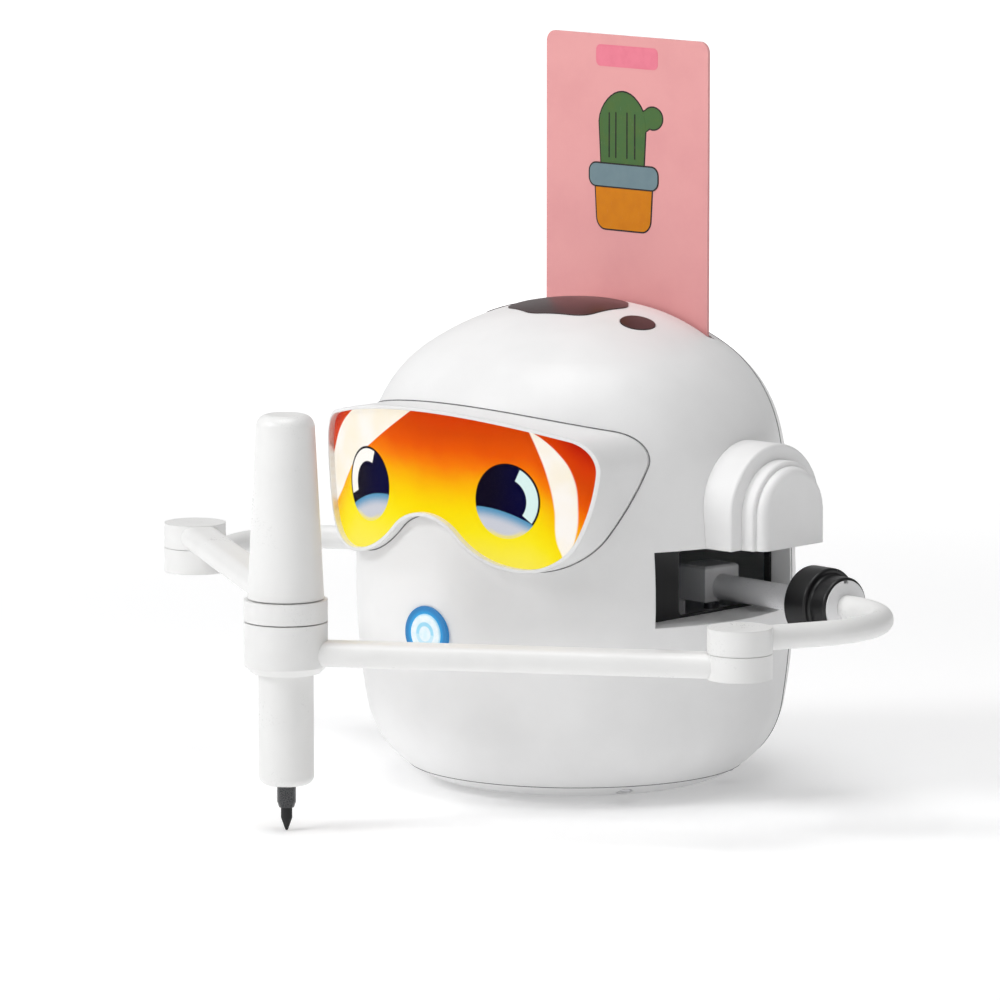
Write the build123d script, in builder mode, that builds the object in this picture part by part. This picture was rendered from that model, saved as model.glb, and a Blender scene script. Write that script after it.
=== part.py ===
from build123d import *
import os
from math import acos, atan2, cos, pi, radians, sin, sqrt, tan

# Table-top drawing robot: a round white body with a goggled face, a card in a slot on top, and two
# arms that come out of side slots and carry a marker through a parallelogram linkage.
# Millimetres, +Z up. The origin is on the table under the body's axis. The face looks along -Y,
# so the robot's left side is +X. "left" and "right" are the robot's own sides.

# ---------------------------------------------------------------- driving dimensions
# Body of revolution: tangent arcs from the flat bottom up to the crown
bottom_radius, side_radius, shoulder_radius, dome_radius = 26.3, 197.0, 36.3, 71.5
side_low_angle, side_high_angle, shoulder_angle = -9.8, 11.6, 55.6
wall = 2.4
body_lift = 0.5             # the rubber pad holds the body this far off the table
base_parting = 5.0          # seam between the base plate and the two shells
rear_seam = 29.0            # seam plane between the front and the rear shell, y

# Side slots that the arms come out of
slot_half_length, slot_low, slot_high = 27.5, 49.6, 69.8
slot_inner_x = 46.0
slot_lip = 1.5
bezel_thickness = 2.0
bezel_opening = (-10.5, 26.8, 50.0, 68.5)       # y from, y to, z from, z to

# Ear pods over the slots: (arch radius, reach in x) of each step
ear_y = 5.4
ear_straight = 8.5
ear_steps = [(18.4, 66.3), (14.2, 70.3), (12.8, 73.0)]
ear_root, ear_step_fillet, ear_face_fillet = 40.0, 0.8, 2.2

# Goggles: the visor's front is part of a cylinder flatter than the body
visor_radius, visor_axis_y = 84.0, 22.5
visor_recess, visor_thickness = 0.5, 1.2
goggle_rim = 1.0
face_gap, face_thickness = 0.1, 0.5
lens_top = 106.0
# Tangent arcs round half the lens, clockwise from the top centre: (radius, turn in degrees)
lens_arcs = [(169.0, 14.4), (8.2, 80.6), (57.0, 18.0), (14.0, 67.0), (28.0, 45.0)]
nose_turn = 45.0

# Power button on the chest
button_z = 46.4
light_ring_radius, power_cap_radius = 7.4, 5.3
power_front, power_board_y = -60.3, -48.5

# Top of the head
crest_points = [(0, -18.6), (14.4, -13.0), (15.2, 4.0), (9.5, 10.5)]
crest_rounding = [7, 6, 7, 5, 5, 7, 6]
crest_depth = 1.2
oval_centre = (24.2, -2.4)
oval_half_x, oval_half_y = 4.2, 5.5
card_width, card_height, card_thickness, card_corner = 58.0, 90.0, 0.8, 3.0
card_y, card_bottom = 20.8, 110.2
card_slot_half, card_slot_front, card_slot_back = 30.2, 19.2, 22.4

# Arm linkage: four equal links, both drive levers on one shaft
shaft_y = 20.3
link_length = 120.0
rod_height = 54.1
forearm_drop = 6.8          # the left forearm runs this far under its lever, the right one over
rod_angle = {"left": 5.6, "right": 2.8}         # rest angle of each rod, forward of the X axis
knuckle_offset = 28.8       # angle at the shaft between a rod and its knuckle
rod_radius, tube_radius = 3.5, 3.3
knuckle_radius, knuckle_height = 8.5, 6.7
forearm_width, forearm_thickness = 10.6, 6.5
running_gap = 0.05

# Coupling nut, as distances from the shaft along the rod
nut_start, nut_step, nut_end = 71.7, 79.6, 85.3
nut_flange_radius, nut_small_radius, plug_radius = 9.8, 8.0, 7.2

# Gears
drive_module, sector_teeth, pinion_teeth = 1.0, 64, 12
lift_module = 0.8
pressure_angle = radians(25)
addendum, dedendum = 0.9, 1.25                  # in modules
tooth_thinning = 0.16
motor_angle = 62.0          # direction from the shaft to each drive motor, forward of the X axis
motor_radius, motor_bottom = 14.0, 26.0

# Heights of the stack on the arm shaft
carriage_low, carriage_high = 44.0, 46.0
left_sector_low, left_hub_low, left_hub_high = 46.2, 50.4, 54.0
right_hub_low, right_sector_low, right_sector_high = 54.2, 57.8, 62.0
shaft_radius, shaft_top = 2.5, 64.4

# Pen holder, heights over the table
collar_radius, collar_low, collar_seam, collar_high = 11.0, 42.0, 55.5, 61.4
collar_chamfer = 2.0
barrel_radius, barrel_low, barrel_high, barrel_bore = 7.25, 12.3, 68.5, 5.5
cap_low, cap_low_radius, cap_high, cap_high_radius, cap_top = 61.7, 10.05, 106.9, 7.75, 109.8
marker_radius, nose_radius, nose_low, nib_radius = 5.3, 2.5, 6.2, 1.5

# Inside
post_place, post_radius, post_top = (26.0, 26.0), 2.0, 49.5
base_screw_circle, base_screw_angles = 41.5, (-30, 30, 150, 210)
screw_head_radius, screw_head_low, screw_head_high = 2.0, 3.3, 4.5
board_height, board_thickness = 20.0, 1.6
usb_y, usb_width, usb_height = 55.0, 9.0, 3.2
cell_radius, cell_half_length, cell_z, cell_places = 9.0, 31.5, 14.5, (-22.0, -3.0)
lift_motor_y, lift_motor_z = 40.0, 36.0
speaker_z, speaker_radius = 82.0, 15.0
button_board_y = -4.0

sides = {"left": 1, "right": -1}
post_places = [(sign * post_place[0], post_place[1]) for sign in sides.values()]
base_screw_places = [
    (base_screw_circle * cos(radians(a)), base_screw_circle * sin(radians(a))) for a in base_screw_angles
]

os.makedirs("parts", exist_ok=True)

# Half the width of the flat bottom follows from the arcs, because the crown closes on the axis
flat_radius = (
    (side_radius - bottom_radius) * cos(radians(side_low_angle))
    - (side_radius - shoulder_radius) * cos(radians(side_high_angle))
    + (dome_radius - shoulder_radius) * cos(radians(shoulder_angle))
)


def save(builder, name):
    """Label a finished piece and write it to its own STEP file."""
    builder.part.label = name
    export_step(builder.part, f"parts/{name}.step")


# ---------------------------------------------------------------- places on the linkage
def rod_direction(side):
    """Unit vector from the arm shaft out along a rod at rest."""
    a = radians(rod_angle[side])
    return Vector(sides[side] * cos(a), -sin(a), 0)


def on_arm(side, along, forward=0.0, z=rod_height):
    """Point given by its distance along the rod and its distance in front of the rod's line."""
    a = radians(rod_angle[side])
    x = sides[side] * (along * cos(a) - forward * sin(a))
    return Vector(x, shaft_y - along * sin(a) - forward * cos(a), z)


def arm_plane(side, z):
    """Horizontal plane whose x axis runs along the rod. Forward is local -y on the left arm."""
    return Plane(origin=on_arm(side, 0, 0, z), x_dir=rod_direction(side), z_dir=(0, 0, 1))


def section_plane(side):
    """Upright plane through the rod: local x runs along it, local y up, from the shaft."""
    d = rod_direction(side)
    return Plane(origin=on_arm(side, 0), x_dir=d, z_dir=(d.Y, -d.X, 0))


def knuckle(side, z):
    """Centre of a knuckle at rest."""
    b = radians(knuckle_offset)
    return on_arm(side, link_length * cos(b), link_length * sin(b), z)


def pen_point(z):
    """Axis of the pen: the fourth corner of the parallelogram."""
    left, right = knuckle("left", 0), knuckle("right", 0)
    return Vector(left.X + right.X, left.Y + right.Y - shaft_y, z)


def motor_point(side, z):
    """Axis of a drive motor, where its pinion meshes with the sector."""
    distance = drive_module * (sector_teeth + pinion_teeth) / 2
    a = radians(motor_angle)
    return Vector(sides[side] * distance * cos(a), shaft_y - distance * sin(a), z)


# ---------------------------------------------------------------- gear outlines
def involute(angle):
    return tan(angle) - angle


def tooth(teeth, module, centre):
    """Points of one spur tooth, from its root on one side over the tip to the other root."""
    pitch = module * teeth / 2
    base = pitch * cos(pressure_angle)
    radii = [pitch - dedendum * module, max(base, pitch - module), pitch, pitch + addendum * module]
    half = []
    for r in radii:
        roll = acos(min(1.0, base / r))
        half.append(pi / 2 / teeth - tooth_thinning / 2 / pitch + involute(pressure_angle) - involute(roll))
    rising = [(r * cos(centre - h), r * sin(centre - h)) for r, h in zip(radii, half)]
    falling = [(r * cos(centre + h), r * sin(centre + h)) for r, h in zip(radii, half)]
    return rising + falling[::-1]


def gear_outline(teeth, module, first=0, count=None, phase=0.0):
    """Outline of a whole gear, or of the teeth of a sector with its centre as the last corner."""
    pitch_angle = 2 * pi / teeth
    points = []
    for k in range(first, first + (count or teeth)):
        points += tooth(teeth, module, phase + k * pitch_angle)
    if count:
        points.append((0, 0))
    return points


def rack_outline(module, first, count):
    """Outline of a rack: teeth point to +x, the pitch line is x = 0, and it runs along y."""
    tip, root = addendum * module, -dedendum * module
    points = []
    for k in range(first, first + count):
        for height, sign in ((root, -1), (tip, -1), (tip, 1), (root, 1)):
            half = pi * module / 4 - tooth_thinning / 2 - height * tan(pressure_angle)
            points.append((height, (k + 0.5) * pi * module + sign * half))
    return points


# ---------------------------------------------------------------- body surface
def body_section(inset):
    """Half section of the body, set in by a wall thickness, as a sketch on the XZ plane."""
    bottom = (flat_radius, body_lift + inset)
    with BuildSketch(Plane.XZ) as section:
        with BuildLine():
            floor = Line((0, body_lift + inset), bottom)
            low = JernArc(floor @ 1, (1, 0), bottom_radius - inset, 90 + side_low_angle)
            side = JernArc(low @ 1, low % 1, side_radius - inset, side_high_angle - side_low_angle)
            shoulder = JernArc(side @ 1, side % 1, shoulder_radius - inset, shoulder_angle - side_high_angle)
            dome = JernArc(shoulder @ 1, shoulder % 1, dome_radius - inset, 90 - shoulder_angle)
            Line((0, (dome @ 1).Y), floor @ 0)
        make_face()
    return section.sketch


def body_solid(inset=0.0):
    """The body as a full solid of revolution, set in by a wall thickness."""
    with BuildPart() as solid:
        add(body_section(inset))
        revolve(axis=Axis.Z)
    return solid.part


def dome_centre():
    """Height of the centre of the crown's arc over the table."""
    z = body_lift + bottom_radius
    z += (bottom_radius - side_radius) * sin(radians(side_low_angle))
    z += (side_radius - shoulder_radius) * sin(radians(side_high_angle))
    return z + (shoulder_radius - dome_radius) * sin(radians(shoulder_angle))


outer = body_solid()
inner = body_solid(wall)


def oval_plane(sign):
    """Plane on the dome at an oval button, with its normal out of the dome."""
    x, y = sign * oval_centre[0], oval_centre[1]
    rise = sqrt(dome_radius ** 2 - x * x - y * y)
    normal = Vector(x, y, rise).normalized()
    across = Vector(0, 1, 0).cross(normal)
    return Plane(origin=(x, y, dome_centre() + rise), x_dir=across, z_dir=normal)


def crest_sketch():
    """Rounded shield on top of the head, seen from above."""
    with BuildSketch() as shield:
        with BuildLine():
            mirrored = [(-x, y) for x, y in reversed(crest_points[1:])]
            FilletPolyline(*crest_points, *mirrored, radius=crest_rounding, close=True)
        make_face()
    return shield.sketch


def lens_sketch(grow=0.0):
    """Outline of the goggle lens seen from the front, as a sketch on the XZ plane."""
    with BuildSketch(Plane.XZ) as lens:
        with BuildLine():
            point, heading = Vector(0, lens_top), Vector(1, 0)
            for radius, turn in lens_arcs:
                arc = JernArc(point, heading, radius, -turn)
                point, heading = arc @ 1, arc % 1
            JernArc(point, heading, point.X / sin(radians(nose_turn)), nose_turn)
            mirror(about=Plane.YZ)
        make_face()
        if grow:
            offset(amount=grow)
    return lens.sketch


def ear_section(sign, shrink=0.0):
    """Stepped outline of an ear pod in plan, with the corner of each step rounded."""
    outline, rounding = [], []
    back = ear_root
    for radius, reach in ear_steps:
        outline += [(back, -radius + shrink), (reach - shrink, -radius + shrink)]
        rounding += [0, ear_face_fillet if reach == ear_steps[-1][1] else ear_step_fillet]
        back = reach - shrink
    corners = outline + [(x, -y) for x, y in reversed(outline)]
    with BuildSketch(Plane.XY.offset(slot_high + ear_straight)) as section:
        with BuildLine():
            FilletPolyline(
                *[(sign * x, ear_y + y) for x, y in corners],
                radius=rounding + rounding[::-1], close=True,
            )
        make_face()
    return section.sketch


def ear_solid(sign, shrink=0.0):
    """Half-round stepped pod: the outline turned over its axis, with straight feet below."""
    section = ear_section(sign, shrink)
    with BuildPart() as solid:
        add(section)
        extrude(amount=-(ear_straight - shrink))
        with BuildSketch(Plane.XY.offset(slot_high + ear_straight)):
            add(section)
            with Locations((sign * 60, ear_y - 50)):
                Rectangle(100, 100, mode=Mode.SUBTRACT)
        revolve(axis=Axis((0, ear_y, slot_high + ear_straight), (1, 0, 0)), revolution_arc=180)
    return solid.part


# ---------------------------------------------------------------- shells and base
with BuildPart() as slot_liners:
    # White lips that line both side slots
    for sign in (1, -1):
        with BuildSketch(Plane.YZ.offset(sign * slot_inner_x)):
            with Locations((0, (slot_low + slot_high) / 2)):
                Rectangle(
                    2 * (slot_half_length + slot_lip), slot_high - slot_low + 2 * slot_lip
                )
                Rectangle(2 * slot_half_length, slot_high - slot_low, mode=Mode.SUBTRACT)
        extrude(amount=sign * 20)
    add(outer, mode=Mode.INTERSECT)

with BuildPart() as slot_cutters:
    for sign in (1, -1):
        with Locations((sign * 55, 0, (slot_low + slot_high) / 2)):
            Box(20, 2 * slot_half_length, slot_high - slot_low)

with BuildPart() as whole_shell:
    add(outer)
    add(inner, mode=Mode.SUBTRACT)
    add(slot_liners.part)
    add(slot_cutters.part, mode=Mode.SUBTRACT)
    # Screw bosses over the base screws
    with BuildSketch(Plane.XY.offset(base_parting)):
        with Locations(*base_screw_places):
            Circle(3.2)
    extrude(amount=9)
    with Locations((0, 0, base_parting / 2)):
        Cylinder(80, base_parting, mode=Mode.SUBTRACT)
    with BuildSketch(Plane.XY.offset(base_parting)):
        with Locations(*base_screw_places):
            Circle(1.25)
    extrude(amount=7.5, mode=Mode.SUBTRACT)

with BuildPart() as button_cutters:
    # Openings in the front shell: chest light, crest recess, oval buttons and card slot
    with BuildSketch(Plane.XZ):
        with Locations((0, button_z)):
            Circle(light_ring_radius)
    extrude(amount=80)
    with BuildSketch(Plane.XY.offset(115)):
        with Locations((0, (card_slot_front + card_slot_back) / 2)):
            Rectangle(2 * card_slot_half, card_slot_back - card_slot_front)
    extrude(amount=30)
    for sign in (1, -1):
        with BuildSketch(oval_plane(sign).offset(-6)):
            Ellipse(oval_half_x + 0.12, oval_half_y + 0.12)
        extrude(amount=10)

with BuildPart() as crest_recess:
    with BuildSketch(Plane.XY.offset(120)):
        add(crest_sketch())
    extrude(amount=15)
    add(body_solid(crest_depth), mode=Mode.SUBTRACT)

with BuildPart() as board_posts:
    # Four posts that hang the button board under the dome
    with BuildSketch(Plane.XY.offset(118.6)):
        with Locations((0, button_board_y)):
            with GridLocations(40, 30, 2, 2):
                Circle(1.8)
    extrude(amount=8)
    add(body_solid(1.3), mode=Mode.INTERSECT)

with BuildPart() as front_shell:
    add(whole_shell.part)
    add(board_posts.part)
    split(bisect_by=Plane.XZ.offset(-rear_seam), keep=Keep.TOP)
    add(button_cutters.part, mode=Mode.SUBTRACT)
    add(crest_recess.part, mode=Mode.SUBTRACT)
save(front_shell, "front_shell")

with BuildPart() as speaker_ring:
    with BuildSketch(Plane.XZ.offset(-44)):
        with Locations((0, speaker_z)):
            Circle(speaker_radius + 1.8)
            Circle(speaker_radius + 0.1, mode=Mode.SUBTRACT)
    extrude(amount=-20)
    # Shelf under the lift motor
    with Locations((16, 50, 29.5)):
        Box(18, 24, 3)
    add(body_solid(1.3), mode=Mode.INTERSECT)

with BuildPart() as rear_openings:
    with BuildSketch(Plane.XZ.offset(-44)):
        with Locations((0, speaker_z)):
            Circle(1.0)
            for ring in (1, 2, 3):
                with PolarLocations(3.6 * ring, 6 * ring):
                    Circle(1.0)
    extrude(amount=-20)
    with BuildSketch(Plane.XZ.offset(-50)):
        with Locations((0, board_height + board_thickness + usb_height / 2)):
            RectangleRounded(usb_width + 0.8, usb_height + 0.8, 1.9)
    extrude(amount=-15)

with BuildPart() as rear_shell:
    add(whole_shell.part)
    split(bisect_by=Plane.XZ.offset(-rear_seam), keep=Keep.BOTTOM)
    add(speaker_ring.part)
    add(rear_openings.part, mode=Mode.SUBTRACT)
save(rear_shell, "rear_shell")

pad_radius, pad_top = 27.0, 1.5
floor_top = 3.0

with BuildPart() as battery_cells:
    for y in cell_places:
        with Locations((0, y, cell_z)):
            Cylinder(cell_radius, 2 * cell_half_length, rotation=(0, 90, 0))

with BuildPart() as base_plate:
    add(outer)
    with Locations((0, 0, base_parting + 75)):
        Box(150, 150, 150, mode=Mode.SUBTRACT)
    with Locations((0, 0, floor_top)):
        Cylinder(37.5, 10, align=(Align.CENTER, Align.CENTER, Align.MIN), mode=Mode.SUBTRACT)
    # Standoffs under the main board, saddles under the cells, sockets for the guide posts
    with BuildSketch(Plane.XY.offset(floor_top)):
        with Locations((18, 17), (-18, 17), (9, 34.5), (-9, 34.5)):
            Circle(2.8)
    extrude(amount=board_height - floor_top)
    with Locations((20, -12.5, floor_top + 3), (-20, -12.5, floor_top + 3)):
        Box(3, 38, 6)
    add(battery_cells.part, mode=Mode.SUBTRACT)
    with BuildSketch(Plane.XY.offset(floor_top)):
        with Locations(*post_places):
            Circle(3.2)
    extrude(amount=7)
    with BuildSketch(Plane.XY.offset(floor_top)):
        with Locations(*post_places):
            Circle(post_radius)
    extrude(amount=8, mode=Mode.SUBTRACT)
    with Locations((0, 0, 0)):
        Cylinder(pad_radius, 2 * pad_top, mode=Mode.SUBTRACT)
    with BuildSketch():
        with Locations(*base_screw_places):
            Circle(screw_head_radius + 0.2)
    extrude(amount=screw_head_high, mode=Mode.SUBTRACT)
    with BuildSketch():
        with Locations(*base_screw_places):
            Circle(1.6)
    extrude(amount=base_parting, mode=Mode.SUBTRACT)
save(base_plate, "base_plate")

with BuildPart() as grip_pad:
    Cylinder(pad_radius, pad_top, align=(Align.CENTER, Align.CENTER, Align.MIN))
    chamfer(grip_pad.faces().sort_by(Axis.Z)[0].edges(), 0.4)
save(grip_pad, "grip_pad")

with BuildPart() as base_screws:
    with BuildSketch(Plane.XY.offset(screw_head_low)):
        with Locations(*base_screw_places):
            Circle(screw_head_radius)
    extrude(amount=screw_head_high - screw_head_low)
    with BuildSketch(Plane.XY.offset(screw_head_low)):
        with Locations(*base_screw_places):
            RegularPolygon(1.1, 6)
    extrude(amount=0.7, mode=Mode.SUBTRACT)
    with BuildSketch(Plane.XY.offset(screw_head_high)):
        with Locations(*base_screw_places):
            Circle(1.25)
    extrude(amount=7.0)
save(base_screws, "base_screws")

# ---------------------------------------------------------------- slots and ears
for side, sign in sides.items():
    y_from, y_to, z_from, z_to = bezel_opening
    with BuildPart() as slot_bezel:
        with BuildSketch(Plane.YZ.offset(sign * slot_inner_x)):
            with Locations((0, (slot_low + slot_high) / 2)):
                Rectangle(2 * (slot_half_length + slot_lip), slot_high - slot_low + 2 * slot_lip)
            with Locations(((y_from + y_to) / 2, (z_from + z_to) / 2)):
                RectangleRounded(y_to - y_from, z_to - z_from, 2.2, mode=Mode.SUBTRACT)
        extrude(amount=-sign * bezel_thickness)
    save(slot_bezel, f"{side}_slot_bezel")

    with BuildPart() as ear:
        add(ear_solid(sign))
        add(ear_solid(sign, 2.0), mode=Mode.SUBTRACT)
        add(outer, mode=Mode.SUBTRACT)
    save(ear, f"{side}_ear_pod")

# ---------------------------------------------------------------- goggles and face
def bowed_sheet(front_radius, thickness):
    """Curved sheet in the outline of the lens, bowed like the visor."""
    with BuildPart() as sheet:
        extrude(lens_sketch(), amount=75, dir=(0, -1, 0))
        with Locations((0, visor_axis_y, 86)):
            Cylinder(front_radius, 60, mode=Mode.INTERSECT)
            Cylinder(front_radius - thickness, 61, mode=Mode.SUBTRACT)
    return sheet.part


with BuildPart() as visor_bow:
    with Locations((0, visor_axis_y, 86)):
        Cylinder(visor_radius, 60)

with BuildPart() as goggle_frame:
    extrude(lens_sketch(goggle_rim), amount=75, dir=(0, -1, 0))
    extrude(lens_sketch(), amount=75, dir=(0, -1, 0), mode=Mode.SUBTRACT)
    add(visor_bow.part, mode=Mode.INTERSECT)
    add(outer, mode=Mode.SUBTRACT)
save(goggle_frame, "goggle_frame")

with BuildPart() as visor_lens:
    add(bowed_sheet(visor_radius - visor_recess, visor_thickness))
save(visor_lens, "visor_lens")

with BuildPart() as face_plate:
    add(bowed_sheet(visor_radius - visor_recess - visor_thickness - face_gap, face_thickness))
    add(outer, mode=Mode.SUBTRACT)
save(face_plate, "face_plate")

# ---------------------------------------------------------------- chest button
with BuildPart() as power_light_ring:
    with BuildSketch(Plane.XZ.offset(-power_board_y)):
        with Locations((0, button_z)):
            Circle(light_ring_radius)
            Circle(power_cap_radius + 0.08, mode=Mode.SUBTRACT)
    extrude(amount=power_board_y - power_front - 0.3)
save(power_light_ring, "power_light_ring")

with BuildPart() as power_button:
    with BuildSketch(Plane.XZ.offset(-power_front)):
        with Locations((0, button_z)):
            Circle(power_cap_radius)
    extrude(amount=-5)
    fillet(power_button.faces().sort_by(Axis.Y)[0].edges(), 0.5)
    with BuildSketch(Plane.XZ.offset(-power_front - 5)):
        with Locations((0, button_z)):
            Circle(1.5)
    extrude(amount=-4)
save(power_button, "power_button")

with BuildPart() as power_board:
    with BuildSketch(Plane.XZ.offset(-power_board_y)):
        with Locations((0, button_z)):
            RectangleRounded(18, 18, 2)
    extrude(amount=-board_thickness)
    with BuildSketch(Plane.XZ.offset(-power_board_y)):
        with Locations((0, button_z)):
            Rectangle(4, 4)
    extrude(amount=1.4)
save(power_board, "power_board")

# ---------------------------------------------------------------- top of the head
with BuildPart() as crest_panel:
    with BuildSketch(Plane.XY.offset(120)):
        add(crest_sketch())
    extrude(amount=15)
    add(body_solid(-0.25), mode=Mode.INTERSECT)
    add(body_solid(crest_depth), mode=Mode.SUBTRACT)
save(crest_panel, "crest_panel")

for side, sign in sides.items():
    top = oval_plane(sign)
    with BuildPart() as oval_button:
        with BuildSketch(top.offset(-3.6)):
            Ellipse(oval_half_x, oval_half_y)
        extrude(amount=6)
        add(body_solid(-0.2), mode=Mode.INTERSECT)
        with BuildSketch(top.offset(-6.5)):
            Circle(1.2)
        extrude(amount=3.5)
    save(oval_button, f"{side}_top_button")

with BuildPart() as button_board:
    with BuildSketch(Plane.XY.offset(117)):
        with Locations((0, button_board_y)):
            RectangleRounded(48, 38, 5)
    extrude(amount=board_thickness)
    with Locations((21.7, -2.1, 118.7), (-21.7, -2.1, 118.7)):
        Box(3, 3, 0.6)
save(button_board, "button_board")

with BuildPart() as card_guide:
    with Locations((0, (card_slot_front + card_slot_back) / 2, 106)):
        Box(66, 7, 30, align=(Align.CENTER, Align.CENTER, Align.MIN))
    with Locations((0, (card_slot_front + card_slot_back) / 2, 110)):
        Box(
            2 * card_slot_half, card_slot_back - card_slot_front, 30,
            align=(Align.CENTER, Align.CENTER, Align.MIN), mode=Mode.SUBTRACT,
        )
    add(inner, mode=Mode.INTERSECT)
save(card_guide, "card_guide")

with BuildPart() as card_reader:
    with BuildSketch(Plane.XZ.offset(-17.3)):
        with Locations((0, 112)):
            RectangleRounded(36, 10, 1)
    extrude(amount=board_thickness)
save(card_reader, "card_reader")

with BuildPart() as drawing_card:
    with BuildSketch(Plane.XZ.offset(-card_y - card_thickness / 2)):
        with Locations((0, card_bottom + card_height / 2)):
            RectangleRounded(card_width, card_height, card_corner)
    extrude(amount=card_thickness)
save(drawing_card, "drawing_card")

# ---------------------------------------------------------------- electronics and power
with BuildPart() as main_board:
    with BuildSketch(Plane.XY.offset(board_height)):
        Circle(50.5)
        with Locations((0, -86)):
            Rectangle(200, 200, mode=Mode.SUBTRACT)
        with Locations((100 + 31, 40), (-100 - 31, 40)):
            Rectangle(200, 100, mode=Mode.SUBTRACT)
        with Locations(*post_places):
            Circle(4.6, mode=Mode.SUBTRACT)
    extrude(amount=board_thickness)
    # Chips and connectors
    for x, y, length, width, height in (
        (-8, 28, 9, 9, 1.2), (8, 25, 7, 7, 1.0), (-18, 38, 8, 5, 2.5), (18, 38, 6, 6, 4.0),
    ):
        with Locations((x, y, board_height + board_thickness + height / 2)):
            Box(length, width, height)
save(main_board, "main_board")

with BuildPart() as usb_port:
    with BuildSketch(Plane.XZ.offset(-usb_y)):
        with Locations((0, board_height + board_thickness + usb_height / 2)):
            RectangleRounded(usb_width, usb_height, 1.5)
            RectangleRounded(usb_width - 0.7, usb_height - 0.7, 1.2, mode=Mode.SUBTRACT)
    extrude(amount=8)
    with Locations((0, usb_y - 7.4, board_height + board_thickness + usb_height / 2)):
        Box(usb_width - 2, 1.2, usb_height - 0.4)
    with Locations((0, usb_y - 4, board_height + board_thickness + usb_height / 2)):
        Box(usb_width - 2.4, 6, 0.7)
save(usb_port, "usb_port")

with BuildPart() as battery_pack:
    add(battery_cells.part)
    with Locations((0, sum(cell_places) / 2, cell_z)):
        Box(2 * cell_half_length - 6, 6, 4)
save(battery_pack, "battery_pack")

with BuildPart() as speaker:
    with BuildSketch(Plane.XZ.offset(-44.5)):
        with Locations((0, speaker_z)):
            Circle(speaker_radius)
    extrude(amount=-3.5)
    with BuildSketch(Plane.XZ.offset(-44.5)):
        with Locations((0, speaker_z)):
            Circle(8)
    extrude(amount=4.5)
    with BuildSketch(Plane.XZ.offset(-48)):
        with Locations((0, speaker_z)):
            Circle(12)
    extrude(amount=1.2, mode=Mode.SUBTRACT)
save(speaker, "speaker")

# ---------------------------------------------------------------- lift carriage
with BuildPart() as guide_posts:
    with BuildSketch(Plane.XY.offset(floor_top)):
        with Locations(*post_places):
            Circle(post_radius)
    extrude(amount=post_top - floor_top)
save(guide_posts, "guide_posts")

motor_places = [tuple(motor_point(side, 0))[:2] for side in sides]

with BuildPart() as lift_carriage:
    with BuildSketch(Plane.XY.offset(carriage_low)):
        with Locations(*motor_places):
            Circle(motor_radius + 1)
        with Locations(*post_places):
            Circle(6)
        make_hull()
    extrude(amount=carriage_high - carriage_low)
    with BuildSketch(Plane.XY.offset(carriage_low)):
        with Locations(*post_places):
            Circle(4.5)
    extrude(amount=-10)
    with BuildSketch(Plane.XY.offset(carriage_high)):
        with Locations(*post_places):
            Circle(post_radius + running_gap)
        with Locations((0, shaft_y)):
            Circle(shaft_radius)
        with Locations(*motor_places):
            Circle(3.0)
    extrude(amount=-20, mode=Mode.SUBTRACT)
save(lift_carriage, "lift_carriage")

with BuildPart() as arm_shaft:
    with BuildSketch(Plane.XY.offset(carriage_low)):
        with Locations((0, shaft_y)):
            Circle(shaft_radius)
    extrude(amount=shaft_top - carriage_low)
    with BuildSketch(Plane.XY.offset(carriage_low)):
        with Locations((0, shaft_y)):
            Circle(6)
    extrude(amount=-2)
save(arm_shaft, "arm_shaft")

with BuildPart() as shaft_clip:
    with BuildSketch(Plane.XY.offset(right_sector_high + 0.2)):
        with Locations((0, shaft_y)):
            Circle(5)
            Circle(shaft_radius, mode=Mode.SUBTRACT)
    extrude(amount=1.2)
save(shaft_clip, "shaft_clip")

rack_pitch_y = lift_motor_y - lift_module * pinion_teeth / 2

with BuildPart() as lift_rack:
    with BuildSketch(Plane(origin=(-3, rack_pitch_y, lift_motor_z), x_dir=(0, 1, 0), z_dir=(1, 0, 0))):
        with BuildLine():
            teeth = rack_outline(lift_module, -4, 7)
            Polyline(
                *teeth, (-1, carriage_low - lift_motor_z), (-3.4, carriage_low - lift_motor_z),
                (-3.4, teeth[0][1]), close=True,
            )
        make_face()
    extrude(amount=6)
save(lift_rack, "lift_rack")

with BuildPart() as lift_pinion:
    pinion_plane = Plane(origin=(-3, lift_motor_y, lift_motor_z), x_dir=(0, 1, 0), z_dir=(1, 0, 0))
    with BuildSketch(pinion_plane):
        with BuildLine():
            Polyline(*gear_outline(pinion_teeth, lift_module), close=True)
        make_face()
    extrude(amount=6)
    with BuildSketch(pinion_plane.offset(6)):
        Circle(1.5)
    extrude(amount=9)
save(lift_pinion, "lift_pinion")

with BuildPart() as lift_motor:
    with BuildSketch(Plane.YZ.offset(5.5)):
        with Locations((lift_motor_y, lift_motor_z)):
            Rectangle(12, 10)
    extrude(amount=9)
    with BuildSketch(Plane.YZ.offset(14.5)):
        with Locations((lift_motor_y, lift_motor_z)):
            Circle(6)
            Rectangle(14, 10, mode=Mode.INTERSECT)
    extrude(amount=11)
    with BuildSketch(Plane.YZ.offset(5.5)):
        with Locations((lift_motor_y, lift_motor_z)):
            Circle(1.5 + running_gap)
    extrude(amount=7, mode=Mode.SUBTRACT)
save(lift_motor, "lift_motor")

pinion_heights = {"left": (46.5, 50.2), "right": (58.0, 61.8)}

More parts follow.
